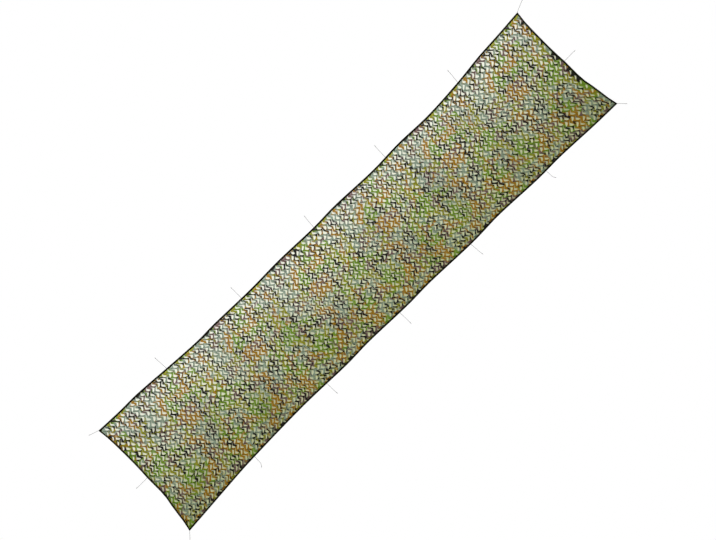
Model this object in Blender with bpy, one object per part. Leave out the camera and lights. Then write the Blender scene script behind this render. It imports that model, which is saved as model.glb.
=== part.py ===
"""A long camouflage net: one strip of slit cloth, bound along its four edges with folded tape and
fitted with sixteen short tie cords. It lies spread on the ground, drawn in between its corners.

X runs along the net, Y across it and Z up. The origin is the middle of the net at ground level.
All sizes are in metres.
"""

import math

import bmesh
import bpy
from mathutils import Vector

# The spread net, from corner to corner
NET_WIDTH = 1.50
REAR_LENGTH = 6.56
FRONT_LENGTH = 6.70

# The cloth, and the tape folded over its edge
CLOTH_THICKNESS = 0.0022
TAPE_WIDTH = 0.020
TAPE_THICKNESS = 0.0010
CLEARANCE = 0.0003
SLOT_BOTTOM = TAPE_THICKNESS + CLEARANCE
TAPE_HEIGHT = 2 * SLOT_BOTTOM + CLOTH_THICKNESS
MITRE_SETBACK = 0.0003

# The tie cords and the stopper knot near each free end
CORD_RADIUS = 0.0018
KNOT_RADIUS = 0.0043
KNOT_HALF_LENGTH = 0.006
CORD_TAIL = 0.009
CORD_POINT_SPACING = 0.0085
CORD_BEVEL_RESOLUTION = 2
CURL_START = 0.55

# How finely the cloth and the tapes follow their curves
CELLS_ALONG = 72
CELLS_ACROSS = 14
HEM_SHOULDER = 0.0015

# How far each edge is drawn in from the straight line between its corners.
# Columns: share of the edge from its -X (or -Y) corner, distance drawn in.
REAR_DRAWN_IN = (
    (0.00, 0.000),
    (0.05, 0.012),
    (0.09, 0.013),
    (0.17, 0.050),
    (0.23, 0.072),
    (0.26, 0.067),
    (0.35, 0.081),
    (0.42, 0.075),
    (0.50, 0.091),
    (0.55, 0.084),
    (0.64, 0.107),
    (0.70, 0.095),
    (0.77, 0.109),
    (0.85, 0.079),
    (0.90, 0.043),
    (0.95, 0.024),
    (1.00, 0.000),
)
FRONT_DRAWN_IN = (
    (0.00, 0.000),
    (0.05, 0.024),
    (0.10, 0.049),
    (0.15, 0.070),
    (0.28, 0.088),
    (0.38, 0.070),
    (0.43, 0.078),
    (0.52, 0.060),
    (0.57, 0.065),
    (0.67, 0.043),
    (0.73, 0.053),
    (0.82, 0.028),
    (0.87, 0.030),
    (0.95, 0.007),
    (1.00, 0.000),
)
END_DRAWN_IN = (
    (0.00, 0.000),
    (0.07, 0.018),
    (0.20, 0.035),
    (0.32, 0.057),
    (0.50, 0.047),
    (0.60, 0.048),
    (0.80, 0.034),
    (0.93, 0.018),
    (1.00, 0.000),
)

# Soft rises where the cloth has slack; between them it lies flat on the ground.
# Columns: x, y of the middle, half length, half width, heading in degrees from +X, height.
RISES = (
    (-2.95, 0.42, 0.42, 0.13, -28, 0.011),
    (-2.86, -0.40, 0.40, 0.14, 24, 0.010),
    (-2.30, 0.10, 0.46, 0.20, 84, 0.009),
    (-1.72, -0.34, 0.34, 0.18, 62, 0.012),
    (-1.55, 0.36, 0.30, 0.17, 112, 0.008),
    (-0.98, 0.05, 0.50, 0.18, 96, 0.010),
    (-0.46, -0.30, 0.38, 0.15, 14, 0.009),
    (0.55, 0.28, 0.36, 0.17, 78, 0.011),
    (0.72, -0.33, 0.28, 0.16, 120, 0.008),
    (1.32, 0.02, 0.48, 0.19, 88, 0.012),
    (1.94, 0.32, 0.34, 0.15, -18, 0.009),
    (2.12, -0.30, 0.36, 0.18, 70, 0.010),
    (2.88, 0.38, 0.42, 0.14, 26, 0.010),
    (2.98, -0.42, 0.40, 0.13, -30, 0.011),
)
RISE_FLOOR = 0.0012
RISE_HEM_FADE = 0.16

# The tie cords. Columns: name, edge, share of the edge, length, lean from square in degrees
# (towards +X on the long edges, towards +Y on the ends), turn of the free end in degrees.
EDGE_TIES = (
    ("tie_rear_1", "rear", 0.156, 0.176, -4, 4),
    ("tie_rear_2", "rear", 0.329, 0.168, 1, -5),
    ("tie_rear_3", "rear", 0.500, 0.168, 4, 6),
    ("tie_rear_4", "rear", 0.669, 0.181, 2, 5),
    ("tie_rear_5", "rear", 0.845, 0.177, 6, -6),
    ("tie_front_1", "front", 0.163, 0.150, -2, -52),
    ("tie_front_2", "front", 0.333, 0.163, 1, 5),
    ("tie_front_3", "front", 0.501, 0.175, 2, -4),
    ("tie_front_4", "front", 0.664, 0.176, 5, 4),
    ("tie_front_5", "front", 0.838, 0.136, 2, 44),
    ("tie_left", "left", 0.500, 0.170, 0, 4),
    ("tie_right", "right", 0.500, 0.169, 1, -4),
)
# Columns: name, end of the net (-1 or 1), side (-1 front, 1 rear), length, heading from the
# net's length in degrees, turn of the free end in degrees.
CORNER_TIES = (
    ("tie_rear_left", -1, 1, 0.118, 18, 3),
    ("tie_front_left", -1, -1, 0.122, 48, -6),
    ("tie_rear_right", 1, 1, 0.158, 24, -9),
    ("tie_front_right", 1, -1, 0.106, 46, 2),
)

GREEN_CLOTH = ("camouflage_cloth", (0.21, 0.24, 0.09, 1.0), 0.85)
BLACK_TAPE = ("edge_tape", (0.022, 0.024, 0.016, 1.0), 0.75)
DARK_CORD = ("tie_cord", (0.02, 0.02, 0.018, 1.0), 0.7)


def clear_scene():
    for item in list(bpy.data.objects):
        bpy.data.objects.remove(item)


def make_material(name, colour, roughness):
    material = bpy.data.materials.new(name)
    material.use_nodes = True
    shader = material.node_tree.nodes["Principled BSDF"]
    shader.inputs["Base Color"].default_value = colour
    shader.inputs["Roughness"].default_value = roughness
    return material


def add_object(name, data, material):
    item = bpy.data.objects.new(name, data)
    item.data.materials.append(material)
    bpy.context.scene.collection.objects.link(item)
    return item


def mesh_object(name, points, faces, material):
    """Make a closed mesh from points and faces, with its faces turned outwards."""
    shape = bmesh.new()
    corners = [shape.verts.new(point) for point in points]
    for face in faces:
        shape.faces.new([corners[i] for i in face])
    bmesh.ops.recalc_face_normals(shape, faces=shape.faces)
    mesh = bpy.data.meshes.new(name)
    shape.to_mesh(mesh)
    shape.free()
    return add_object(name, mesh, material)


def through_table(table, share):
    """Read a smooth curve that passes through the table's rows."""
    last = len(table) - 2
    row = next((i for i in range(last) if share < table[i + 1][0]), last)

    def slope(i):
        before, after = table[max(i - 1, 0)], table[min(i + 1, len(table) - 1)]
        return (after[1] - before[1]) / (after[0] - before[0])

    (start, low), (end, high) = table[row], table[row + 1]
    span = end - start
    t = (share - start) / span
    return (
        low * (1 + 2 * t) * (1 - t) ** 2
        + high * t * t * (3 - 2 * t)
        + slope(row) * span * t * (1 - t) ** 2
        - slope(row + 1) * span * t * t * (1 - t)
    )


def corner(end, side, inset=0.0):
    """A corner of the net, moved in from both of its edges by the inset."""
    half = (REAR_LENGTH if side > 0 else FRONT_LENGTH) / 2
    splay = (FRONT_LENGTH - REAR_LENGTH) / 2
    place = Vector((end * half, side * NET_WIDTH / 2, 0))
    along_edge = Vector((-end, 0, 0))
    along_end = Vector((end * side * splay, -side * NET_WIDTH, 0)).normalized()
    step = inset / along_edge.cross(along_end).length
    return place + step * (along_edge + along_end)


def long_edge(side, share, inset=0.0):
    """A point on the rear (1) or front (-1) edge, at a share of its length from -X."""
    table = REAR_DRAWN_IN if side > 0 else FRONT_DRAWN_IN
    straight = corner(-1, side, inset).lerp(corner(1, side, inset), share)
    return straight + Vector((0, -side * through_table(table, share), 0))


def end_edge(end, share, inset=0.0):
    """A point on the left (-1) or right (1) end, at a share of its length from -Y."""
    front, rear = corner(end, -1, inset), corner(end, 1, inset)
    chord = (rear - front).normalized()
    inwards = Vector((-end * chord.y, end * chord.x, 0))
    return front.lerp(rear, share) + inwards * through_table(END_DRAWN_IN, share)


def on_net(along, across, inset):
    """A point of the spread net, blended between its four drawn-in edges."""
    front, rear = long_edge(-1, along, inset), long_edge(1, along, inset)
    left, right = end_edge(-1, across, inset), end_edge(1, across, inset)
    corners = (corner(-1, -1, inset).lerp(corner(1, -1, inset), along)).lerp(
        corner(-1, 1, inset).lerp(corner(1, 1, inset), along), across
    )
    return front.lerp(rear, across) + left.lerp(right, along) - corners


def rise_at(x, y):
    """How far the slack lifts the cloth's underside off the ground."""
    height = 0.0
    for middle_x, middle_y, half_length, half_width, heading, top in RISES:
        turn = math.radians(heading)
        dx, dy = x - middle_x, y - middle_y
        along = (dx * math.cos(turn) + dy * math.sin(turn)) / half_length
        across = (dy * math.cos(turn) - dx * math.sin(turn)) / half_width
        height += top * math.exp(-1.4 * (along * along + across * across))
    return max(height - RISE_FLOOR, 0.0)


def fade_to_hem(along, across):
    """From 0 under the tape to 1 well inside the net, for heights that die out at the hem."""
    mean_length = (REAR_LENGTH + FRONT_LENGTH) / 2
    from_end = min(along, 1 - along) * mean_length
    from_edge = min(across, 1 - across) * NET_WIDTH
    t = min(max((min(from_end, from_edge) - TAPE_WIDTH) / RISE_HEM_FADE, 0.0), 1.0)
    return t * t * (3 - 2 * t)


def shares_with_hem(cells, length):
    """Even shares from 0 to 1, with one more line just past the tape at either end."""
    hem = (TAPE_WIDTH + HEM_SHOULDER - SLOT_BOTTOM) / length
    inner = [hem + (1 - 2 * hem) * i / cells for i in range(cells + 1)]
    return [0.0, *inner, 1.0]


def make_cloth(material):
    """One sheet that follows the drawn-in outline and rises softly where it is slack."""
    lines_along = shares_with_hem(CELLS_ALONG, (REAR_LENGTH + FRONT_LENGTH) / 2)
    lines_across = shares_with_hem(CELLS_ACROSS, NET_WIDTH)
    last_row, last_column = len(lines_along) - 1, len(lines_across) - 1
    width = len(lines_across)
    under, over = [], []
    for i, along in enumerate(lines_along):
        for j, across in enumerate(lines_across):
            place = on_net(along, across, SLOT_BOTTOM)
            inside = 1 < i < last_row - 1 and 1 < j < last_column - 1
            fade = fade_to_hem(along, across)
            place.z = rise_at(place.x, place.y) * fade if inside else SLOT_BOTTOM
            under.append(place)
            over.append(place + Vector((0, 0, CLOTH_THICKNESS)))
    count = len(under)
    faces = []
    for i in range(last_row):
        for j in range(last_column):
            a = i * width + j
            b, c, d = a + width, a + width + 1, a + 1
            faces.append((a, d, c, b))
            faces.append((a + count, b + count, c + count, d + count))
    rim = (
        [i * width for i in range(last_row)]
        + [last_row * width + j for j in range(last_column)]
        + [i * width + last_column for i in range(last_row, 0, -1)]
        + [j for j in range(last_column, 0, -1)]
    )
    for here, there in zip(rim, rim[1:] + rim[:1]):
        faces.append((here, there, there + count, here + count))
    return mesh_object("net_cloth", under + over, faces, material)


def make_tape(name, edge, shares, material):
    """A tape folded lengthwise over an edge: two leaves and the fold, open towards the cloth."""
    section = (
        (0.0, 0.0),
        (TAPE_WIDTH, 0.0),
        (TAPE_WIDTH, TAPE_THICKNESS),
        (TAPE_THICKNESS, TAPE_THICKNESS),
        (TAPE_THICKNESS, TAPE_HEIGHT - TAPE_THICKNESS),
        (TAPE_WIDTH, TAPE_HEIGHT - TAPE_THICKNESS),
        (TAPE_WIDTH, TAPE_HEIGHT),
        (0.0, TAPE_HEIGHT),
    )
    around = len(section)
    points = []
    for share in shares:
        for inset, height in section:
            place = edge(share, inset)
            points.append((place.x, place.y, height))
    faces = []
    for i in range(len(shares) - 1):
        for j in range(around):
            a, b = i * around + j, i * around + (j + 1) % around
            faces.append((a, b, b + around, a + around))
    # The two cut ends are fans of three quads, because the folded section isn't convex.
    for start in (0, (len(shares) - 1) * around):
        for quad in ((0, 1, 2, 3), (0, 3, 4, 7), (4, 5, 6, 7)):
            faces.append([start + i for i in quad])
    return mesh_object(name, points, faces, material)


def make_tapes(material):
    """Four folded tapes that meet in mitred corners."""

    def mitred(cells, length):
        shares = shares_with_hem(cells, length)
        setback = MITRE_SETBACK / length
        return [setback, *shares[1:-1], 1 - setback]

    for name, side in (("tape_rear", 1), ("tape_front", -1)):
        shares = mitred(CELLS_ALONG, (REAR_LENGTH + FRONT_LENGTH) / 2)
        make_tape(name, lambda share, inset: long_edge(side, share, inset), shares, material)
    for name, end in (("tape_left", -1), ("tape_right", 1)):
        shares = mitred(CELLS_ACROSS, NET_WIDTH)
        make_tape(name, lambda share, inset: end_edge(end, share, inset), shares, material)


def cord_height(distance, length):
    """The cord's middle: level with the tape at first, then on the ground, then up to its knot."""
    tape_middle = TAPE_HEIGHT / 2
    drop = min(distance / 0.03, 1.0)
    on_ground = CORD_RADIUS + (tape_middle - CORD_RADIUS) * (1 - drop) ** 2
    to_knot = abs(distance - (length - CORD_TAIL - KNOT_HALF_LENGTH)) - KNOT_HALF_LENGTH
    near_knot = 1 - min(max(to_knot / 0.016, 0.0), 1.0)
    rounded = near_knot * near_knot * (3 - 2 * near_knot)
    return on_ground + (KNOT_RADIUS - CORD_RADIUS) * rounded


def cord_stations(length):
    """Distances along a cord and its thickness there, close together round the knot."""
    knot_middle = length - CORD_TAIL - KNOT_HALF_LENGTH
    plain = knot_middle - KNOT_HALF_LENGTH
    steps = max(round(plain / CORD_POINT_SPACING), 2)
    stations = [(plain * i / steps, 1.0) for i in range(steps + 1)]
    swell = KNOT_RADIUS / CORD_RADIUS
    for offset, thickness in ((-0.6, 0.85), (0.0, 1.0), (0.6, 0.85)):
        stations.append((knot_middle + offset * KNOT_HALF_LENGTH, swell * thickness))
    stations.append((knot_middle + KNOT_HALF_LENGTH, 1.0))
    stations.append((length, 1.0))
    return stations


def make_tie(name, start, heading, length, turn, material):
    """A cord lying on the ground, straight at first and turning towards its free end."""
    curve = bpy.data.curves.new(name, "CURVE")
    curve.dimensions = "3D"
    curve.bevel_depth = CORD_RADIUS
    curve.bevel_resolution = CORD_BEVEL_RESOLUTION
    curve.use_fill_caps = True
    stations = cord_stations(length)
    spline = curve.splines.new("POLY")
    spline.points.add(len(stations) - 1)
    place, before = start.copy(), 0.0
    for point, (distance, thickness) in zip(spline.points, stations):
        middle = (before + distance) / 2 / length
        bend = max(middle - CURL_START, 0.0) / (1 - CURL_START)
        angle = heading + math.radians(turn) * bend
        place += Vector((math.cos(angle), math.sin(angle), 0)) * (distance - before)
        before = distance
        point.co = (place.x, place.y, cord_height(distance, length), 1.0)
        point.radius = thickness
    return add_object(name, curve, material)


def make_ties(material):
    """Sixteen cords: five on each long edge, one on each end and one at each corner."""
    for name, edge, share, length, lean, turn in EDGE_TIES:
        if edge in ("rear", "front"):
            side = 1 if edge == "rear" else -1
            place = long_edge(side, share) + Vector((0, side * CLEARANCE, 0))
            heading = side * math.radians(90 - lean)
            turning = -side * turn
        else:
            end = 1 if edge == "right" else -1
            place = end_edge(end, share) + Vector((end * CLEARANCE, 0, 0))
            heading = math.radians(lean if end > 0 else 180 - lean)
            turning = end * turn
        make_tie(name, place, heading, length, turning, material)
    for name, end, side, length, heading, turn in CORNER_TIES:
        angle = side * math.radians(heading if end > 0 else 180 - heading)
        outwards = Vector((math.cos(angle), math.sin(angle), 0))
        place = corner(end, side) + (CLEARANCE + CORD_RADIUS) * outwards
        make_tie(name, place, angle, length, end * side * turn, material)


def main():
    clear_scene()
    make_cloth(make_material(*GREEN_CLOTH))
    make_tapes(make_material(*BLACK_TAPE))
    make_ties(make_material(*DARK_CORD))


main()
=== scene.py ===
# A slit-cloth camouflage net, laid out flat and seen from straight above.
import math

import bpy
import numpy as np
from mathutils.bvhtree import BVHTree
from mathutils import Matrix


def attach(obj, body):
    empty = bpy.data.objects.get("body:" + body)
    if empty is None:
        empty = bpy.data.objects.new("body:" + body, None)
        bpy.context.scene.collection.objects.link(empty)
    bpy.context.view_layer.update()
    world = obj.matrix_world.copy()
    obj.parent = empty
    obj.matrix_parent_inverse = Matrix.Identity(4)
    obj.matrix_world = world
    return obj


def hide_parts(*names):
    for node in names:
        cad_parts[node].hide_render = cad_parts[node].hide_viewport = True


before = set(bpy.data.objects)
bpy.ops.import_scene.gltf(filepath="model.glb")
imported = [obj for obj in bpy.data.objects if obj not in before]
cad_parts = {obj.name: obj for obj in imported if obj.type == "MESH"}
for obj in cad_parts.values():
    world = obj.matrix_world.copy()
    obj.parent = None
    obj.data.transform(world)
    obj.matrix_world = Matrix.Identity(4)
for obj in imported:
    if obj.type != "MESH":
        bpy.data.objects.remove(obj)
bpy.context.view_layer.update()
mm = 0.001


def linearColour(hexCode):
    parts = [int(hexCode[i:i + 2], 16) / 255 for i in (1, 3, 5)]
    return [p / 12.92 if p <= 0.04045 else ((p + 0.055) / 1.055) ** 2.4 for p in parts] + [1.0]


def addNode(tree, kind, settings=None, inputs=None):
    node = tree.nodes.new(kind)
    for name, value in (settings or {}).items():
        setattr(node, name, value)
    for socket, value in (inputs or {}).items():
        if isinstance(value, bpy.types.NodeSocket):
            tree.links.new(value, node.inputs[socket])
        else:
            node.inputs[socket].default_value = value
    return node


def newMaterial(name):
    material = bpy.data.materials.new(name)
    material.use_nodes = True
    return material, material.node_tree, material.node_tree.nodes["Principled BSDF"]


def smoothStep(value):
    t = np.clip(value, 0.0, 1.0)
    return t * t * (3 - 2 * t)


def smoothRidge(share):
    # a zigzag with softened tips, from -1 to 1, once for each repeat across the net
    roundness = 0.95
    return np.arcsin(roundness * np.cos(2 * np.pi * share)) / math.asin(roundness)


def waveScale(spacing):
    # the scale of a band texture for lines this far apart
    return 1 / spacing / 20 * 2 * math.pi


def setRamp(ramp, *stops):
    # positions and sRGB colours of a two-stop colour ramp
    for element, (position, hexCode) in zip(ramp.color_ramp.elements, stops):
        element.position, element.color = position, linearColour(hexCode)


def unit(rows):
    return rows / np.linalg.norm(rows, axis=1)[:, None]


def meshPiece(name, points, faces, material, places=None):
    mesh = bpy.data.meshes.new(name)
    mesh.from_pydata(np.asarray(points).tolist(), [], [list(map(int, f)) for f in faces])
    mesh.materials.append(material)
    mesh.polygons.foreach_set("use_smooth", [True] * len(mesh.polygons))
    if places is not None:
        attribute = mesh.attributes.new("place", "FLOAT_VECTOR", "POINT")
        attribute.data.foreach_set("vector", np.asarray(places, np.float32).ravel())
    piece = bpy.data.objects.new(name, mesh)
    bpy.context.scene.collection.objects.link(piece)
    return piece


# Camera straight above, turned so that the net runs from bottom left to top right
photo = {
    "width": 716,  # pixels
    "metresPerPixel": 1.5 / 135.4,
    "centre": (0.0127, -0.0231),  # the point of the floor in the middle of the photo
    "turn": -44.97,  # degrees
    "lens": 100.0,
    "farEnd": 200,
}


def makeCamera():
    data = bpy.data.cameras.new("overheadCamera")
    data.lens = photo["lens"]
    data.clip_end = photo["farEnd"]
    camera = bpy.data.objects.new("overheadCamera", data)
    bpy.context.scene.collection.objects.link(camera)
    frameWidth = photo["width"] * photo["metresPerPixel"]
    camera.location = (*photo["centre"], frameWidth * data.lens / data.sensor_width)
    camera.rotation_euler = (0, 0, math.radians(photo["turn"]))
    bpy.context.scene.camera = camera


makeCamera()
print("camera placed")


# The net's outline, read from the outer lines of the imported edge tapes
tape = {
    "width": 20 * mm,
    "leaf": 1.0 * mm,
    "height": 4.8 * mm,
    "fold": 1.9 * mm,  # radius of the folded edge
    "setback": 0.3 * mm,  # clear of the mitre
    "step": 22 * mm,
    "flutter": 0.18 * mm,
    "ribs": 1.2 * mm,
    "wornPatches": 9.0,  # in a metre
}


tracing = {
    "reach": 25 * mm,  # how far along a tape its outermost corner is looked for
    "outerPart": 9 * mm,  # less than a tape's width, so its inner line drops out
    "sameStation": 8 * mm,
    "mitre": 2.5 * tape["width"],
}


def outerLine(node, alongAxis, outward):
    points = np.array([v.co[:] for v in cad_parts[node].data.vertices])
    points = points[np.argsort(points[:, alongAxis])]
    along, across = points[:, alongAxis], points[:, 1 - alongAxis] * outward
    outer = [across[np.abs(along - a) < tracing["reach"]].max() for a in along]
    points = points[across > np.array(outer) - tracing["outerPart"]]
    along, across = points[:, alongAxis], points[:, 1 - alongAxis] * outward
    group = np.cumsum(np.diff(along, prepend=along[0]) > tracing["sameStation"])
    best = [np.flatnonzero(group == g)[across[group == g].argmax()] for g in range(group[-1] + 1)]
    line = points[best, :2]
    place = line[:, alongAxis]
    kept = (place > place[0] + tracing["mitre"]) & (place < place[-1] - tracing["mitre"])
    kept[[0, -1]] = True
    return line[kept]


rearLine, frontLine = outerLine("tape_rear", 0, 1), outerLine("tape_front", 0, -1)
halfWidth = (rearLine[-1, 1] - frontLine[-1, 1]) / 2
rearHalf = (rearLine[-1, 0] - rearLine[0, 0]) / 2 + tape["setback"]
frontHalf = (frontLine[-1, 0] - frontLine[0, 0]) / 2 + tape["setback"]
meanLength = rearHalf + frontHalf


def cornerAt(end, side, inset=0.0):
    half = rearHalf if side > 0 else frontHalf
    alongEdge = np.array([-end, 0.0])
    alongEnd = np.array([end * side * (frontHalf - rearHalf), -side * 2 * halfWidth])
    alongEnd /= np.linalg.norm(alongEnd)
    return np.array([end * half, side * halfWidth]) + inset / abs(alongEnd[1]) * (alongEdge + alongEnd)


def chordOf(start, finish):
    span = finish - start
    return span / np.linalg.norm(span), np.linalg.norm(span)


def drawnIn(line, start, finish):
    # how far the line runs inside the straight one between its corners, at each share of it
    direction, length = chordOf(start, finish)
    away = line - start
    return away @ direction / length, np.abs(away[:, 0] * direction[1] - away[:, 1] * direction[0])


longCurves = {
    1: drawnIn(rearLine, cornerAt(-1, 1), cornerAt(1, 1)),
    -1: drawnIn(frontLine, cornerAt(-1, -1), cornerAt(1, -1)),
}
endCurves = {
    end: drawnIn(outerLine(node, 1, end), cornerAt(end, -1), cornerAt(end, 1))
    for end, node in ((-1, "tape_left"), (1, "tape_right"))
}


def along(start, finish, share):
    return start + (finish - start) * np.asarray(share, float)[:, None]


def longEdge(side, share, inset=0.0):
    line = along(cornerAt(-1, side, inset), cornerAt(1, side, inset), share)
    line[:, 1] -= side * np.interp(share, *longCurves[side])
    return line


def endEdge(end, share, inset=0.0):
    front, rear = cornerAt(end, -1, inset), cornerAt(end, 1, inset)
    direction, _ = chordOf(front, rear)
    inwards = np.array([-end * direction[1], end * direction[0]])
    return along(front, rear, share) + inwards * np.interp(share, *endCurves[end])[:, None]


def onNet(length, width, inset):
    # a place on the spread net from its shares along and across, blended between the four edges
    length, width = np.asarray(length, float), np.asarray(width, float)
    corners = [
        along(cornerAt(-1, side, inset), cornerAt(1, side, inset), length) for side in (-1, 1)
    ]
    share, other = width[:, None], length[:, None]
    return (
        longEdge(-1, length, inset) * (1 - share) + longEdge(1, length, inset) * share
        + endEdge(-1, width, inset) * (1 - other) + endEdge(1, width, inset) * other
        - corners[0] * (1 - share) - corners[1] * share
    )


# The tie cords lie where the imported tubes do
tie = {
    "diameter": 3.6 * mm,
    "clearance": 0.3 * mm,
    "root": 4 * mm,  # what is sewn inside the tape's fold
    "knotRadius": 4.3 * mm,
    "knotHalf": 6 * mm,
    "knotRise": 16 * mm,  # the cord lifts off the floor over this length beside its knot
    "tail": 9 * mm,
    "lead": 30 * mm,  # from the tape down to the floor
    "curlStart": 0.55,  # share of the length
    "step": 1.6 * mm,
    "ringPoints": 12,
    "plies": 3,
    "plyDepth": 0.16,
    "lay": 13 * mm,  # length of one turn of the plies
    "taper": 0.5,  # at the cut end
}
# name, edge, share of the edge, length, lean and turn of the free end in degrees
edgeTies = (
    ("tie_rear_1", "rear", 0.156, 0.176, -4, 4),
    ("tie_rear_2", "rear", 0.329, 0.168, 1, -5),
    ("tie_rear_3", "rear", 0.500, 0.168, 4, 6),
    ("tie_rear_4", "rear", 0.669, 0.181, 2, 5),
    ("tie_rear_5", "rear", 0.845, 0.177, 6, -6),
    ("tie_front_1", "front", 0.163, 0.150, -2, -52),
    ("tie_front_2", "front", 0.333, 0.163, 1, 5),
    ("tie_front_3", "front", 0.501, 0.175, 2, -4),
    ("tie_front_4", "front", 0.664, 0.176, 5, 4),
    ("tie_front_5", "front", 0.838, 0.136, 2, 44),
    ("tie_left", "left", 0.500, 0.170, 0, 4),
    ("tie_right", "right", 0.500, 0.169, 1, -4),
)
# name, end, side, length, heading and turn in degrees
cornerTies = (
    ("tie_rear_left", -1, 1, 0.118, 18, 3),
    ("tie_front_left", -1, -1, 0.122, 48, -6),
    ("tie_rear_right", 1, 1, 0.158, 24, -9),
    ("tie_front_right", 1, -1, 0.106, 46, 2),
)


def tieStarts():
    # each cord's name, first point, heading in radians, length and turn in degrees
    starts = []
    for name, edge, share, length, lean, turn in edgeTies:
        if edge in ("rear", "front"):
            side = 1 if edge == "rear" else -1
            place = longEdge(side, [share])[0] + (0, side * tie["clearance"])
            starts.append((name, place, side * math.radians(90 - lean), length, -side * turn))
        else:
            end = 1 if edge == "right" else -1
            place = endEdge(end, [share])[0] + (end * tie["clearance"], 0)
            heading = math.radians(lean if end > 0 else 180 - lean)
            starts.append((name, place, heading, length, end * turn))
    for name, end, side, length, heading, turn in cornerTies:
        angle = side * math.radians(heading if end > 0 else 180 - heading)
        outwards = np.array([math.cos(angle), math.sin(angle)])
        place = cornerAt(end, side) + (tie["clearance"] + tie["diameter"] / 2) * outwards
        starts.append((name, place, angle, length, end * side * turn))
    return starts


def cordHeight(distance, length):
    radius, middle = tie["diameter"] / 2, tape["height"] / 2
    drop = np.minimum(distance / tie["lead"], 1)
    toKnot = np.abs(distance - (length - tie["tail"] - tie["knotHalf"])) - tie["knotHalf"]
    nearKnot = smoothStep(1 - toKnot / tie["knotRise"])
    return radius + (middle - radius) * (1 - drop) ** 2 + (tie["knotRadius"] - radius) * nearKnot


def cordLine(start, heading, length, turn):
    steps = round(length / tie["step"])
    distance = np.linspace(0, length, steps + 1)
    middle = (distance[1:] + distance[:-1]) / 2 / length
    bend = np.maximum(middle - tie["curlStart"], 0) / (1 - tie["curlStart"])
    angle = heading + math.radians(turn) * bend
    moves = np.stack([np.cos(angle), np.sin(angle)], 1) * (length / steps)
    flat = start + np.concatenate([[[0, 0]], np.cumsum(moves, 0)])
    return np.column_stack([flat, cordHeight(distance, length)])


def tubeAlong(line):
    # twisted rings round a line, with rounded ends; returns points, faces and their places on the cord
    radius, ringPoints = tie["diameter"] / 2, tie["ringPoints"]
    ahead = unit(np.gradient(line, axis=0))
    side = unit(np.cross(ahead, (0, 0, 1.0)))
    up = np.cross(side, ahead)
    distance = np.concatenate([[0], np.cumsum(np.linalg.norm(np.diff(line, axis=0), axis=1))])
    turnOf = 2 * np.pi * np.arange(ringPoints) / ringPoints
    points, places = [], []
    for i, centre in enumerate(line):
        phase = 2 * np.pi * distance[i] / tie["lay"]
        ripple = 1 - tie["plyDepth"] * (1 - np.abs(np.cos(tie["plies"] / 2 * (turnOf - phase))))
        fromEnd = min(distance[i], distance[-1] - distance[i])
        size = radius * ripple * (1 - tie["taper"] * max(0.0, 1 - fromEnd / radius))
        sideways, upwards = np.cos(turnOf) * size, np.sin(turnOf) * size
        points.append(centre + np.outer(sideways, side[i]) + np.outer(upwards, up[i]))
        places.append(np.column_stack([np.full(ringPoints, distance[i]), turnOf * radius, turnOf * 0]))
    faces = []
    for i in range(len(line) - 1):
        for j in range(ringPoints):
            a, b = i * ringPoints + j, i * ringPoints + (j + 1) % ringPoints
            faces.append((a, a + ringPoints, b + ringPoints, b))
    faces.append(tuple(range(ringPoints)))
    last = (len(line) - 1) * ringPoints
    faces.append(tuple(range(last + ringPoints - 1, last - 1, -1)))
    return np.concatenate(points), faces, np.concatenate(places)


knot = {
    "ringRadius": 2.1 * mm,
    "swing": 1.05 * mm,
    "strand": 1.15 * mm,
    "length": 4.4 * mm,
    "steps": 72,
    "ringPoints": 8,
    # how large the strand's run and girth are drawn in the fibres' texture
    "textureRun": 4 * mm,
    "textureGirth": 1 * mm,
}


def knotRound(middle, ahead):
    # an overhand knot pulled tight: a strand that goes twice round the cord and three times over itself
    t = np.linspace(0, 2 * np.pi, knot["steps"], endpoint=False)
    side = np.cross(ahead, (0, 0, 1.0))
    side /= np.linalg.norm(side)
    up = np.cross(side, ahead)
    out = knot["ringRadius"] + knot["swing"] * np.cos(3 * t)
    centre = (
        middle + np.outer(out * np.cos(2 * t), side) + np.outer(out * np.sin(2 * t), up)
        + np.outer(knot["length"] / 2 * np.sin(3 * t), ahead)
    )
    forward = unit(np.roll(centre, -1, 0) - np.roll(centre, 1, 0))
    outward = centre - middle - np.outer((centre - middle) @ ahead, ahead)
    across = unit(np.cross(forward, outward))
    outward = np.cross(across, forward)
    steps, ringPoints = knot["steps"], knot["ringPoints"]
    turnOf = 2 * np.pi * np.arange(ringPoints) / ringPoints
    rings = [
        c + knot["strand"] * (np.outer(np.cos(turnOf), a) + np.outer(np.sin(turnOf), o))
        for c, a, o in zip(centre, across, outward)
    ]
    faces = []
    for i in range(steps):
        for j in range(ringPoints):
            a, b = i * ringPoints + j, i * ringPoints + (j + 1) % ringPoints
            nextRing = (i + 1) % steps * ringPoints
            faces.append((a, b, nextRing + (j + 1) % ringPoints, nextRing + j))
    run = np.repeat(t * knot["textureRun"], ringPoints)
    girth = np.tile(turnOf * knot["textureGirth"], steps)
    places = np.column_stack([run, girth, run * 0])
    return np.concatenate(rings), faces, places


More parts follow.
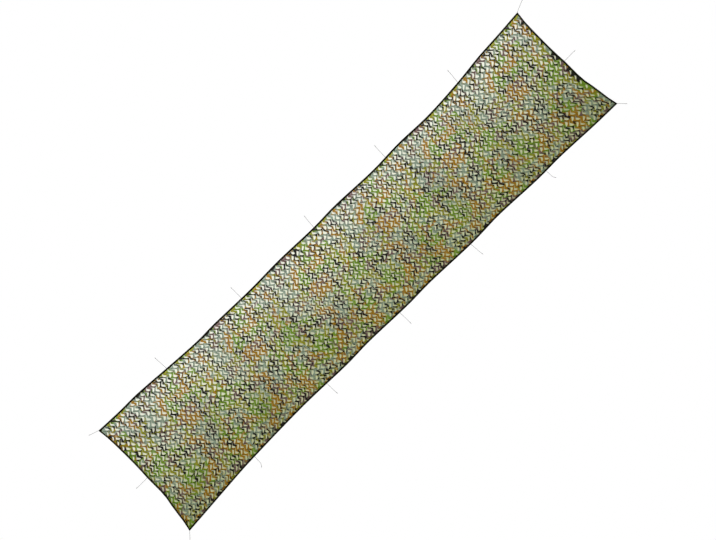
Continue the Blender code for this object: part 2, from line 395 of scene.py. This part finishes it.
def makeCordMaterial():
    # Twisted polyester cord: matt grey-black, each ply catches a faint light along its ridge
    material, tree, shader = newMaterial("twistedPolyesterCord")
    place = addNode(tree, "ShaderNodeAttribute", {"attribute_name": "place"}).outputs["Vector"]
    slant = addNode(tree, "ShaderNodeMapping", None, {"Vector": place, "Rotation": (0, 0, 0.6)})
    fibres = addNode(
        tree, "ShaderNodeTexNoise", {"noise_dimensions": "3D"},
        # fibres are far finer; drawn 1.2 mm apart so that they show
        {"Vector": slant.outputs["Vector"], "Scale": 1 / (1.2 * mm), "Detail": 3.0, "Roughness": 0.6},
    )
    shade = addNode(tree, "ShaderNodeValToRGB", None, {"Fac": fibres.outputs["Fac"]})
    setRamp(shade, (0.3, "#0b0b0b"), (0.75, "#1f1f1d"))
    tree.links.new(shade.outputs["Color"], shader.inputs["Base Color"])
    bump = addNode(
        tree, "ShaderNodeBump", None,
        {"Height": fibres.outputs["Fac"], "Strength": 0.5, "Distance": 0.2 * mm},
    )
    tree.links.new(bump.outputs["Normal"], shader.inputs["Normal"])
    shader.inputs["Roughness"].default_value = 0.72
    shader.inputs["Sheen Weight"].default_value = 0.15
    return material


def makeTies():
    material = makeCordMaterial()
    for name, start, heading, length, turn in tieStarts():
        line = cordLine(start, heading, length, turn)
        back = np.array([math.cos(heading), math.sin(heading), 0]) * tie["root"]
        rooted = np.concatenate([line[0] - np.outer((1, 0.67, 0.33), back), line])
        points, faces, places = tubeAlong(rooted)
        atKnot = round((length - tie["tail"] - tie["knotHalf"]) / tie["step"])
        ahead = line[atKnot + 1] - line[atKnot - 1]
        knotPoints, knotFaces, knotPlaces = knotRound(line[atKnot], ahead / np.linalg.norm(ahead))
        faces += [tuple(i + len(points) for i in f) for f in knotFaces]
        piece = meshPiece(
            name + "_cord", np.concatenate([points, knotPoints]), faces, material,
            np.concatenate([places, knotPlaces]),
        )
        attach(piece, "root")
        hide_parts(name)


makeTies()
print("tie cords made:", len(edgeTies) + len(cornerTies))


# The slit cloth. One repeat of the cut is a row of V slits and, further on, a row of upside-down
# ones set between them. Pulled open, the cloth from a V row to the next is a tongue strip that lies
# low; from there to the following V row it is a strap that stands up in a zigzag.
cloth = {
    "cellsAlong": 83,
    "cellsAcross": 19,
    "columns": 8,
    "tongueRows": 3,
    "strapRows": 4,
    "zigzag": 0.235,  # in cells, as the next five are
    "strapStart": 0.378,
    "slitHalf": 0.375,
    "slitReach": 0.47,  # where the ends of a slit come to when it is pulled open
    "opening": 0.222,
    "slide": 0.075,  # of a slit's two lips past each other
    "slideSpread": (0.35, 0.5),  # by chance for each slit, and in slow waves
    "openSpread": (0.084, 0.14),  # in the same way
    "rearOpening": 1.15,
    "frontOpening": 0.95,
    "hemStart": 10 * mm,
    "hemFade": 45 * mm,
    "hemOpening": 0.35,
    "endStraight": 35 * mm,
    "endFade": 110 * mm,
    "endOpening": 0.45,
    "thickness": 2.2 * mm,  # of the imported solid
    "inset": 1.6 * mm,  # of its rim inside the tape's fold
    "heldPast": 1 * mm,  # the tape's inner line
    "rimFade": 14 * mm,
    "clear": 0.5 * mm,  # above the solid, or the floor
    "bridgeLift": 1.2 * mm,
    "tongueLift": 1.0 * mm,
    "tongueCurl": 5 * mm,  # at most, by chance for each slit
    "tongueArch": -0.5 * mm,
    "strapLiftV": 3.5 * mm,
    "strapLiftBack": 0.5 * mm,
    "liftSpread": 0.3,
    "strapArch": 5.0 * mm,
    "driftAlong": 0.28,  # in cells, how far the rows wander
    "driftAcross": 0.15,
    "driftStart": 30 * mm,
    "driftFade": 120 * mm,
    "seed": 11,
}
# seed of each slow field, with its longest and shortest waves in metres
waves = {
    "openingV": (21, 1.6, 0.28),
    "openingBack": (22, 1.6, 0.28),
    "slide": (23, 1.2, 0.3),
    "along": (31, 2.2, 0.35),
    "across": (32, 1.8, 0.35),
    "flutter": (41, 0.3, 0.05),
}


def slowField(x, y, name):
    # an even mix of long soft waves, from about -1 to 1
    seed, longest, shortest = waves[name]
    count, largest = 7, 3.2
    pick = np.random.default_rng(seed)
    total = np.zeros(np.broadcast(x, y).shape)
    for wave in np.geomspace(longest, shortest, count):
        heading, phase = pick.uniform(0, 2 * np.pi, 2)
        total += np.sin((x * np.cos(heading) + y * np.sin(heading)) * 2 * np.pi / wave + phase)
    return total / largest


def lipsOf(lineNumber, across, pick):
    # both lips of one row of slits (along, across, height) and where the row is cut
    isV = lineNumber % 2 == 0
    rows, columns, slitHalf = cloth["cellsAlong"], cloth["cellsAcross"], cloth["slitHalf"]
    base = lineNumber // 2 + (0 if isV else cloth["strapStart"])
    y = halfWidth - across / columns * 2 * halfWidth
    x = (base / rows - 0.5) * meanLength
    centre = np.floor(across) + 0.5 if isV else np.round(across)
    centre = np.clip(centre, 0, columns - (0.5 if isV else 0))
    fromCentre = across - centre
    nearly = 1e-6
    cut = np.abs(fromCentre) < slitHalf - nearly
    if not isV:
        cut &= (centre > 0.5) & (centre < columns - 0.5)
    if lineNumber in (0, 2 * rows):
        cut &= False
    # each slit is pulled open widest in the middle, less near the hems and the ends
    wide = np.where(cut, 1 - (np.abs(fromCentre) / slitHalf) ** 4, 0.0)
    openChance, slideChance, curlChance, liftChance = (
        pick.uniform(-1, 1, (4, columns + 1))[:, np.floor(centre).astype(int)]
    )
    fromEnd = min(base, rows - base) / rows * meanLength
    fromHem = np.minimum(across, columns - across) / columns * 2 * halfWidth
    hem = smoothStep((fromHem - cloth["hemStart"]) / cloth["hemFade"])
    nearEnd = cloth["endOpening"] + (1 - cloth["endOpening"]) * smoothStep(fromEnd / cloth["endFade"])
    nearHem = cloth["hemOpening"] + (1 - cloth["hemOpening"]) * hem
    frontward = across / columns
    gap = cloth["opening"] * (
        cloth["rearOpening"] + (cloth["frontOpening"] - cloth["rearOpening"]) * frontward
    )
    byChance, inWaves = cloth["openSpread"]
    slow = slowField(x, y, "openingV" if isV else "openingBack")
    gap = gap * (1 + byChance * openChance + inWaves * slow) * nearEnd * nearHem
    byChance, inWaves = cloth["slideSpread"]
    slide = cloth["slide"] * (1 + byChance * slideChance + inWaves * slowField(x, y, "slide")) * hem
    middle = base + cloth["zigzag"] * smoothRidge(across) * smoothStep(fromEnd / cloth["endStraight"])
    onTongue, onStrap = (1, -1) if isV else (-1, 1)
    reach = np.abs(fromCentre) < slitHalf + nearly
    place = across + np.where(reach, fromCentre * (cloth["slitReach"] / slitHalf - 1), 0.0)
    tongueLift = cloth["tongueLift"] + cloth["tongueCurl"] * np.clip(curlChance, 0, 1) ** 1.5
    strapLift = cloth["strapLiftV" if isV else "strapLiftBack"] * (1 + cloth["liftSpread"] * liftChance)
    tongue = (
        middle + onTongue * gap / 2 * wide,
        place - slide * wide,
        cloth["bridgeLift"] + tongueLift * wide,
    )
    strap = (
        middle + onStrap * gap / 2 * wide,
        place + slide * wide,
        cloth["bridgeLift"] + strapLift * wide,
    )
    return (strap, tongue, cut) if isV else (tongue, strap, cut)


def makeClothMesh():
    pick = np.random.default_rng(cloth["seed"])
    columns = cloth["cellsAcross"] * cloth["columns"] + 1
    across = np.arange(columns) / cloth["columns"]
    lips = [lipsOf(n, across, pick) for n in range(2 * cloth["cellsAlong"] + 1)]
    grid, prints, faces, topRow, count = [], [], [], None, 0
    for strip in range(2 * cloth["cellsAlong"]):
        isStrap = strip % 2 == 1
        rows = cloth["strapRows"] if isStrap else cloth["tongueRows"]
        bottom, top = lips[strip][1], lips[strip + 1][0]
        arch = cloth["strapArch"] if isStrap else cloth["tongueArch"]
        lastRow = None
        for row in range(rows + 1):
            share = row / rows
            place = [low * (1 - share) + high * share for low, high in zip(bottom, top)]
            height = place[2] + arch * math.sin(math.pi * share)
            printAlong = (strip + share) / 2 + cloth["zigzag"] * smoothRidge(across)
            isNew = lips[strip][2] if row == 0 and strip else np.ones(columns, bool)
            numbers = np.where(isNew, count + np.cumsum(isNew) - 1, 0)
            if row == 0 and strip:
                numbers = np.where(isNew, numbers, topRow)
            count += int(isNew.sum())
            grid.append(np.stack([place[0], place[1], height], 1)[isNew])
            prints.append(np.stack([printAlong, across], 1)[isNew])
            if lastRow is not None:
                faces.append(np.stack([lastRow[:-1], numbers[:-1], numbers[1:], lastRow[1:]], 1))
            lastRow = numbers
        topRow = lastRow
    grid, prints = np.concatenate(grid), np.concatenate(prints)
    return grid, prints, np.concatenate(faces)


# The print: its inks in the order in which they are laid, each through a screen of its own
printing = {
    "repeat": 1.04,  # metres between repeats along the net
    "ground": "#628220",
    # ink, then its screen: shift, size in metres, edge from and to, detail, raggedness
    "screens": (
        # broad grey-green patches: print, and also painted sheen standing for wide zones of glare
        ("#798a80", (3.1, 0, 0), 0.34, 0.49, 0.525, 2.0, 0.6),
        ("#7d7e18", (0, 5.7, 0), 0.14, 0.53, 0.55, 2.0, 0.6),
        ("#8d680c", (4.3, 2.9, 6.1), 0.19, 0.54, 0.565, 4.0, 0.8),
        ("#624d50", (1.9, 8.4, 4.0), 0.11, 0.575, 0.595, 2.0, 1.0),
    ),
    # thin branches last: they follow the middle line of one screen, where another lets them be
    "branchInk": "#0c0a0b",
    "branchLine": ((9.2, 4.4, 6.5), 0.13, 0.5, 0.52, 1.0, 1.4),
    "branchWhere": ((2.6, 1.3, 9.9), 0.10, 0.52, 0.54, 1.0, 0.4),
    "branchHalf": (0.075, 0.065),
    "threads": 2 * mm,  # real threads are 0.4 mm apart; drawn 2 mm apart so that they show
}


def makePrintedCloth():
    # Plain-woven polyester, printed in greens, ochre and black and thinly coated: matt, with a
    # weak wide sheen
    material, tree, shader = newMaterial("printedPolyesterCloth")
    place = addNode(tree, "ShaderNodeAttribute", {"attribute_name": "place"}).outputs["Vector"]
    split = addNode(tree, "ShaderNodeSeparateXYZ", None, {0: place})
    radius = printing["repeat"] / (2 * math.pi)
    angle = addNode(tree, "ShaderNodeMath", {"operation": "DIVIDE"}, {0: split.outputs[0], 1: radius})
    turned = [
        addNode(tree, "ShaderNodeMath", {"operation": kind}, {0: angle.outputs[0]})
        for kind in ("COSINE", "SINE")
    ]
    rolled = [
        addNode(tree, "ShaderNodeMath", {"operation": "MULTIPLY"}, {0: t.outputs[0], 1: radius})
        for t in turned
    ]
    drum = addNode(
        tree, "ShaderNodeCombineXYZ", None,
        {0: rolled[0].outputs[0], 1: rolled[1].outputs[0], 2: split.outputs[1]},
    ).outputs[0]

    def printScreen(shift, size, low, high, detail, ragged):
        # the raw noise of one screen of the print, and its shapes: 0 off them and 1 on them
        moved = addNode(tree, "ShaderNodeMapping", None, {"Vector": drum, "Location": shift})
        noise = addNode(
            tree, "ShaderNodeTexNoise", {"noise_dimensions": "3D"},
            {"Vector": moved.outputs["Vector"], "Scale": 1 / size, "Detail": detail, "Roughness": 0.55,
             "Distortion": ragged},
        )
        edge = addNode(
            tree, "ShaderNodeMapRange", {"interpolation_type": "SMOOTHSTEP"},
            {"Value": noise.outputs["Fac"], "From Min": low, "From Max": high},
        )
        return noise.outputs["Fac"], edge.outputs["Result"]

    def over(below, colour, mask):
        mix = addNode(tree, "ShaderNodeMix", {"data_type": "RGBA"}, {"Factor": mask, "A": below})
        mix.inputs["B"].default_value = linearColour(colour)
        return mix.outputs["Result"]

    colour = linearColour(printing["ground"])
    for ink, *screen in printing["screens"]:
        colour = over(colour, ink, printScreen(*screen)[1])
    band, _ = printScreen(*printing["branchLine"])
    _, where = printScreen(*printing["branchWhere"])
    offBand = addNode(tree, "ShaderNodeMath", {"operation": "SUBTRACT"}, {0: band, 1: 0.5})
    thin = addNode(tree, "ShaderNodeMath", {"operation": "ABSOLUTE"}, {0: offBand.outputs[0]})
    edgeOff, edgeOn = printing["branchHalf"]
    stroke = addNode(
        tree, "ShaderNodeMapRange", {"interpolation_type": "SMOOTHSTEP"},
        {"Value": thin.outputs[0], "From Min": edgeOff, "From Max": edgeOn},
    )
    branch = addNode(
        tree, "ShaderNodeMath", {"operation": "MULTIPLY"}, {0: stroke.outputs["Result"], 1: where}
    ).outputs[0]
    colour = over(colour, printing["branchInk"], branch)
    tree.links.new(colour, shader.inputs["Base Color"])
    weave = [
        addNode(
            tree, "ShaderNodeTexWave", {"wave_type": "BANDS", "bands_direction": axis},
            {"Vector": place, "Scale": waveScale(printing["threads"])},
        ).outputs["Fac"]
        for axis in ("X", "Y")
    ]
    threads = addNode(tree, "ShaderNodeMath", {"operation": "MAXIMUM"}, {0: weave[0], 1: weave[1]})
    bump = addNode(
        tree, "ShaderNodeBump", None,
        {"Height": threads.outputs[0], "Strength": 0.25, "Distance": 0.2 * mm},
    )
    tree.links.new(bump.outputs["Normal"], shader.inputs["Normal"])
    shader.inputs["Roughness"].default_value = 0.5
    shader.inputs["Specular IOR Level"].default_value = 0.3
    shader.inputs["Sheen Weight"].default_value = 0.1
    return material


def addClothMap(piece, prints, faces):
    # lays the unopened cloth out as a texture map: its length in four quarters, two by two
    quarter = np.repeat(np.arange(len(faces)) * 4 // len(faces), 4)
    corner = np.array(faces).ravel()
    along = prints[corner, 0] / cloth["cellsAlong"] * 4 - quarter
    across = 1 - prints[corner, 1] / cloth["cellsAcross"]
    rim = 0.02
    places = np.column_stack([
        (quarter % 2 + rim + (1 - 2 * rim) * along) / 2,
        (quarter // 2 + rim + (1 - 2 * rim) * across) / 2,
    ])
    piece.data.uv_layers.new(name="OFBake").data.foreach_set("uv", places.ravel())


def makeCloth():
    grid, prints, faces = makeClothMesh()
    lengthShare = grid[:, 0] / cloth["cellsAlong"]
    widthShare = 1 - grid[:, 1] / cloth["cellsAcross"]
    fromEdge = np.minimum(
        np.minimum(lengthShare, 1 - lengthShare) * meanLength,
        np.minimum(widthShare, 1 - widthShare) * 2 * halfWidth,
    )
    x, y = (lengthShare - 0.5) * meanLength, (widthShare - 0.5) * 2 * halfWidth
    inside = smoothStep((fromEdge - cloth["driftStart"]) / cloth["driftFade"])
    alongStep = cloth["driftAlong"] / cloth["cellsAlong"] * slowField(x, y, "along")
    acrossStep = cloth["driftAcross"] / cloth["cellsAcross"] * slowField(x, y, "across")
    flat = onNet(lengthShare + inside * alongStep, widthShare + inside * acrossStep, cloth["inset"])
    solid = BVHTree.FromObject(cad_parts["net_cloth"], bpy.context.evaluated_depsgraph_get())
    ground = np.empty(len(flat))
    for i, (px, py) in enumerate(flat):
        hit = solid.ray_cast((px, py, 1.0), (0, 0, -1.0))[0]
        ground[i] = hit.z - cloth["thickness"] if hit else 0.0
    held = tape["width"] + cloth["heldPast"]  # the rim stays at mid height in the tapes' fold
    free = smoothStep((fromEdge - held) / cloth["rimFade"])
    height = np.where(
        fromEdge < held,
        tape["height"] / 2,
        tape["height"] / 2 * (1 - free) + free * (ground + cloth["clear"] + grid[:, 2]),
    )
    points = np.column_stack([flat, height])
    cellSize = (meanLength / cloth["cellsAlong"], 2 * halfWidth / cloth["cellsAcross"])
    places = np.column_stack([prints * cellSize, np.zeros(len(prints))])
    piece = meshPiece("slit_cloth", points, faces, makePrintedCloth(), places)
    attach(piece, "root")
    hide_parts("net_cloth")
    addClothMap(piece, prints, faces)
    area = sum(p.area for p in piece.data.polygons)
    print("cloth made:", len(faces) * 2, "triangles,", round(area, 2), "m2, top", round(height.max(), 4))
    return piece


clothPiece = makeCloth()


def makeTapeMaterial():
    # Woven polyester binding tape: near-black olive, matt, ribbed across
    material, tree, shader = newMaterial("wovenBindingTape")
    place = addNode(tree, "ShaderNodeAttribute", {"attribute_name": "place"}).outputs["Vector"]
    rib = addNode(
        tree, "ShaderNodeTexWave", {"wave_type": "BANDS", "bands_direction": "X"},
        {"Vector": place, "Scale": waveScale(tape["ribs"]), "Distortion": 0.6, "Detail": 1.0},
    ).outputs["Fac"]
    worn = addNode(
        tree, "ShaderNodeTexNoise", None, {"Vector": place, "Scale": tape["wornPatches"], "Detail": 4.0}
    )
    ramp = addNode(tree, "ShaderNodeValToRGB", None, {"Fac": worn.outputs["Fac"]})
    setRamp(ramp, (0.35, "#050602"), (0.72, "#131406"))
    tree.links.new(ramp.outputs["Color"], shader.inputs["Base Color"])
    bump = addNode(tree, "ShaderNodeBump", None, {"Height": rib, "Strength": 0.5, "Distance": 0.25 * mm})
    tree.links.new(bump.outputs["Normal"], shader.inputs["Normal"])
    shader.inputs["Roughness"].default_value = 0.85
    shader.inputs["Specular IOR Level"].default_value = 0.1
    return material


def tapeSection():
    width, leaf, height, fold = (tape[k] for k in ("width", "leaf", "height", "fold"))
    turns = [math.radians(a) for a in (0, 30, 60, 90)]
    outside = [(width, 0.0), (width / 2, 0.0)]
    outside += [(fold - fold * math.sin(a), fold - fold * math.cos(a)) for a in turns]
    outside += [(fold - fold * math.cos(a), height - fold + fold * math.sin(a)) for a in turns]
    outside += [(width / 2, height), (width, height)]
    inside = [(width, height - leaf), (fold + leaf, height - leaf), (leaf, height / 2)]
    inside += [(fold + leaf, leaf), (width, leaf)]
    return np.array(outside + inside)


def tapeTop(distance):
    # how high the upper leaf's face is at a distance along the tape
    return tape["height"] + tape["flutter"] * np.abs(slowField(distance, distance * 0, "flutter"))


# name, edge, which of the two, length
fourEdges = (
    ("rear", longEdge, 1, 2 * rearHalf),
    ("front", longEdge, -1, 2 * frontHalf),
    ("left", endEdge, -1, 2 * halfWidth),
    ("right", endEdge, 1, 2 * halfWidth),
)


def makeTapes():
    made = []
    material, section = makeTapeMaterial(), tapeSection()
    girth = np.concatenate([[0], np.cumsum(np.linalg.norm(np.diff(section, axis=0), axis=1))])
    for name, edge, which, length in fourEdges:
        steps = round(length / tape["step"])
        share = np.linspace(tape["setback"] / length, 1 - tape["setback"] / length, steps + 1)
        distance = share * length
        points, places = [], []
        for (inset, height), around in zip(section, girth):
            flat = edge(which, share, inset)
            onTop = max(2 * height / tape["height"] - 1, 0)
            points.append(np.column_stack([flat, height + (tapeTop(distance) - tape["height"]) * onTop]))
            places.append(np.column_stack([distance, np.full(steps + 1, around), distance * 0]))
        points, places = np.stack(points, 1), np.stack(places, 1)
        count = len(section)
        faces = []
        for i in range(steps):
            for j in range(count):
                a, b = i * count + j, i * count + (j + 1) % count
                faces.append((a, b, b + count, a + count))
        faces += [tuple(range(count - 1, -1, -1)), tuple(range(steps * count, (steps + 1) * count))]
        if which * (1 if edge is longEdge else -1) < 0:
            faces = [f[::-1] for f in faces]
        piece = meshPiece(
            f"tape_{name}_woven", points.reshape(-1, 3), faces, material, places.reshape(-1, 3)
        )
        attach(piece, "root")
        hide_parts("tape_" + name)
        made.append(piece)
    return made


tapePieces = makeTapes()
print("edge tapes made:", len(tapePieces))


# One row of lockstitch holds each tape, and a short bar of close stitches each cord
stitch = {
    "pitch": 5 * mm,
    "length": 3.6 * mm,
    "width": 0.8 * mm,
    "height": 0.45 * mm,
    "sunk": 0.15 * mm,
    "fromFold": 16.5 * mm,
    "plies": 0.5 * mm,  # apart along the thread
    "tackStart": 4.5 * mm,  # inside the tape's outer line
    "tackAtCorner": 2 * mm,  # and further in where two tapes meet
    "tackLength": 7 * mm,
    "tackPitch": 1.2 * mm,
    "tackStitches": 8,
}


def makeThreadMaterial():
    # Bonded polyester sewing thread: dark olive with a soft gloss, and painted shade along its twist
    material, tree, shader = newMaterial("bondedPolyesterThread")
    place = addNode(tree, "ShaderNodeAttribute", {"attribute_name": "place"}).outputs["Vector"]
    slant = addNode(tree, "ShaderNodeMapping", None, {"Vector": place, "Rotation": (0, 0, 0.9)})
    twist = addNode(
        tree, "ShaderNodeTexWave", {"wave_type": "BANDS", "bands_direction": "X"},
        {"Vector": slant.outputs["Vector"], "Scale": waveScale(stitch["plies"])},
    ).outputs["Fac"]
    # painted shade: the colour follows the twist bands, darker in the grooves and lighter on the crests
    shade = addNode(tree, "ShaderNodeValToRGB", None, {"Fac": twist})
    setRamp(shade, (0.0, "#14150d"), (1.0, "#2b2c1d"))
    tree.links.new(shade.outputs["Color"], shader.inputs["Base Color"])
    bump = addNode(tree, "ShaderNodeBump", None, {"Height": twist, "Strength": 0.4, "Distance": 0.1 * mm})
    tree.links.new(bump.outputs["Normal"], shader.inputs["Normal"])
    shader.inputs["Roughness"].default_value = 0.42
    shader.inputs["Specular IOR Level"].default_value = 0.4
    return material


def joinStitches(name, middles, headings, length, material):
    # one closed arched thread of 20 triangles, copied to every place along its heading
    reach = np.array([-0.5, -0.28, 0.28, 0.5])
    halfWide = np.array([0.3, 0.5, 0.5, 0.3]) * stitch["width"]
    crown = np.array([0.0, 1.0, 1.0, 0.0]) * stitch["height"]
    foot = -stitch["sunk"]
    one = np.array([
        point for t, wide, high in zip(reach * length, halfWide, crown)
        for point in ((t, -wide, foot), (t, 0, high), (t, wide, foot))
    ])
    oneFaces = [(0, 1, 2), (9, 11, 10)]
    for i in (0, 3, 6):
        oneFaces += [(i, i + 3, i + 4, i + 1), (i + 1, i + 4, i + 5, i + 2), (i + 2, i + 5, i + 3, i)]
    middles, headings = np.array(middles), np.array(headings)
    turned = np.stack([
        one[:, 0] * np.cos(headings)[:, None] - one[:, 1] * np.sin(headings)[:, None],
        one[:, 0] * np.sin(headings)[:, None] + one[:, 1] * np.cos(headings)[:, None],
        np.broadcast_to(one[:, 2], (len(middles), len(one))),
    ], 2)
    points = (turned + middles[:, None, :]).reshape(-1, 3)
    faces = [tuple(k * len(one) + i for i in f) for k in range(len(middles)) for f in oneFaces]
    piece = meshPiece(name, points, faces, material, np.tile(one, (len(middles), 1)))
    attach(piece, "root")
    return piece


def makeStitches():
    material = makeThreadMaterial()
    made = []
    inset, pitch = stitch["fromFold"], stitch["pitch"]
    for name, edge, which, length in fourEdges:
        distance = np.arange(inset + pitch, length - inset, pitch)
        middles = edge(which, distance / length, inset)
        ahead = edge(which, (distance + mm) / length, inset) - middles
        places = np.column_stack([middles, tapeTop(distance)])
        headings = np.arctan2(ahead[:, 1], ahead[:, 0])
        made.append(joinStitches("seam_" + name, places, headings, stitch["length"], material))
    cornerNames = {row[0] for row in cornerTies}
    places, headings = [], []
    for name, start, heading, _, _ in tieStarts():
        away = np.array([math.cos(heading), math.sin(heading)])
        first = stitch["tackStart"] + (stitch["tackAtCorner"] if name in cornerNames else 0)
        for k in range(stitch["tackStitches"]):
            inward = first + k * stitch["tackPitch"]
            places.append((*(start - inward * away), tape["height"] + tape["flutter"] / 2))
            headings.append(heading + math.pi / 2)
    made.append(joinStitches("cord_tacks", places, headings, stitch["tackLength"], material))
    return made


stitchPieces = makeStitches()
print("stitches made:", len(stitchPieces))


# A lit white backdrop lies all round, with paper painted with shade, which also glows, only where it
# shows through the net.
# Broad soft light is strongest on the net's rear side.
studio = {
    "backdropSize": 160.0,
    "backdropDepth": 0.4 * mm,  # below the net
    "paperDepth": 0.2 * mm,
    "paperInset": 8 * mm,  # so that its rim is hidden under the tapes
    "paintedShadeFade": 0.75,  # metres from the middle to either end of its painted shade
    # painted shade on the paper under the net: paler at the rear, darker and warmer at the front
    "rearPaintedShade": "#adaeaa",
    "frontPaintedShade": "#868a69",
    # the painted shade also glows, as painted light
    "paintedShadeGlow": 0.92,
    "world": {"strength": 0.18, "colour": (0.98, 1.0, 0.50, 1)},
    "strip": {"place": (0.0, 2.6, 1.9), "size": (9.0, 0.7), "power": 235, "colour": (1.0, 0.97, 1.0)},
    "top": {"place": (0.0, 0.5, 9.0), "size": (9.0, 5.0), "power": 20, "colour": (1.0, 1.0, 0.60)},
    # far off past the right end, so that it shades one flank of every strap alike
    "window": {
        "azimuth": 15, "elevation": 32, "spread": 25, "strength": 1.35, "colour": (1.0, 1.0, 0.60),
    },
}


def addLight(name, kind, colour, power, turn):
    data = bpy.data.lights.new(name + "Light", kind)
    data.color, data.energy = colour, power
    light = bpy.data.objects.new(name + "Light", data)
    light.rotation_euler = turn
    bpy.context.scene.collection.objects.link(light)
    return light


def makeBackdrop():
    half = studio["backdropSize"] / 2
    lit, _, shader = newMaterial("litBackdrop")  # plain white from every side
    shader.inputs["Base Color"].default_value = (0, 0, 0, 1)
    shader.inputs["Specular IOR Level"].default_value = 0
    shader.inputs["Emission Color"].default_value = linearColour("#ffffff")
    shader.inputs["Emission Strength"].default_value = 1.0
    square = [(-half, -half), (half, -half), (half, half), (-half, half)]
    points = [(x, y, -studio["backdropDepth"]) for x, y in square]
    meshPiece("backdrop", points, [(0, 1, 2, 3)], lit)


def makePaintedShadeFloor():
    # Paper painted with shade and made to glow: darker than the backdrop, and darker and warmer toward
    # the front, as painted shade and a painted falloff of light
    paper, tree, shader = newMaterial("paintedShadeGlowPaper")
    place = addNode(tree, "ShaderNodeTexCoord").outputs["Object"]
    split = addNode(tree, "ShaderNodeSeparateXYZ", None, {0: place})
    across = addNode(
        tree, "ShaderNodeMapRange", None,
        {"Value": split.outputs[1], "From Min": -studio["paintedShadeFade"], "From Max": studio["paintedShadeFade"]},
    )
    # painted shade, darker and warmer toward the front
    shade = addNode(tree, "ShaderNodeValToRGB", None, {"Fac": across.outputs["Result"]})
    setRamp(shade, (0.0, studio["frontPaintedShade"]), (1.0, studio["rearPaintedShade"]))
    tree.links.new(shade.outputs["Color"], shader.inputs["Base Color"])
    tree.links.new(shade.outputs["Color"], shader.inputs["Emission Color"])
    # the painted shade glows, though the paper is no lamp
    shader.inputs["Emission Strength"].default_value = studio["paintedShadeGlow"]
    shader.inputs["Roughness"].default_value = 0.9
    rim = np.linspace(0, 1, 60)[:-1]
    inset = studio["paperInset"]
    outline = np.concatenate([
        longEdge(-1, rim, inset), endEdge(1, rim, inset),
        longEdge(1, 1 - rim, inset), endEdge(-1, 1 - rim, inset),
    ])
    points = [(x, y, -studio["paperDepth"]) for x, y in outline]
    meshPiece("paintedShadeUnderNet", points, [tuple(range(len(points)))], paper)


def makeLights():
    for name in ("strip", "top"):
        setup = studio[name]
        aim = math.atan2(setup["place"][1], setup["place"][2])
        light = addLight(name, "AREA", setup["colour"], setup["power"], (-aim, 0, 0))
        light.location = setup["place"]
        light.data.shape, light.data.size, light.data.size_y = "RECTANGLE", *setup["size"]
    setup = studio["window"]
    turn = (0, math.radians(90 - setup["elevation"]), math.radians(setup["azimuth"]))
    light = addLight("window", "SUN", setup["colour"], setup["strength"], turn)
    light.data.angle = math.radians(setup["spread"])
    world = bpy.data.worlds.new("studioWorld")
    world.use_nodes = True
    background = world.node_tree.nodes["Background"]
    background.inputs["Color"].default_value = studio["world"]["colour"]
    background.inputs["Strength"].default_value = studio["world"]["strength"]
    bpy.context.scene.world = world
    bpy.context.scene.view_settings.view_transform = "Standard"


makeBackdrop()
makePaintedShadeFloor()
makeLights()
print("studio made")
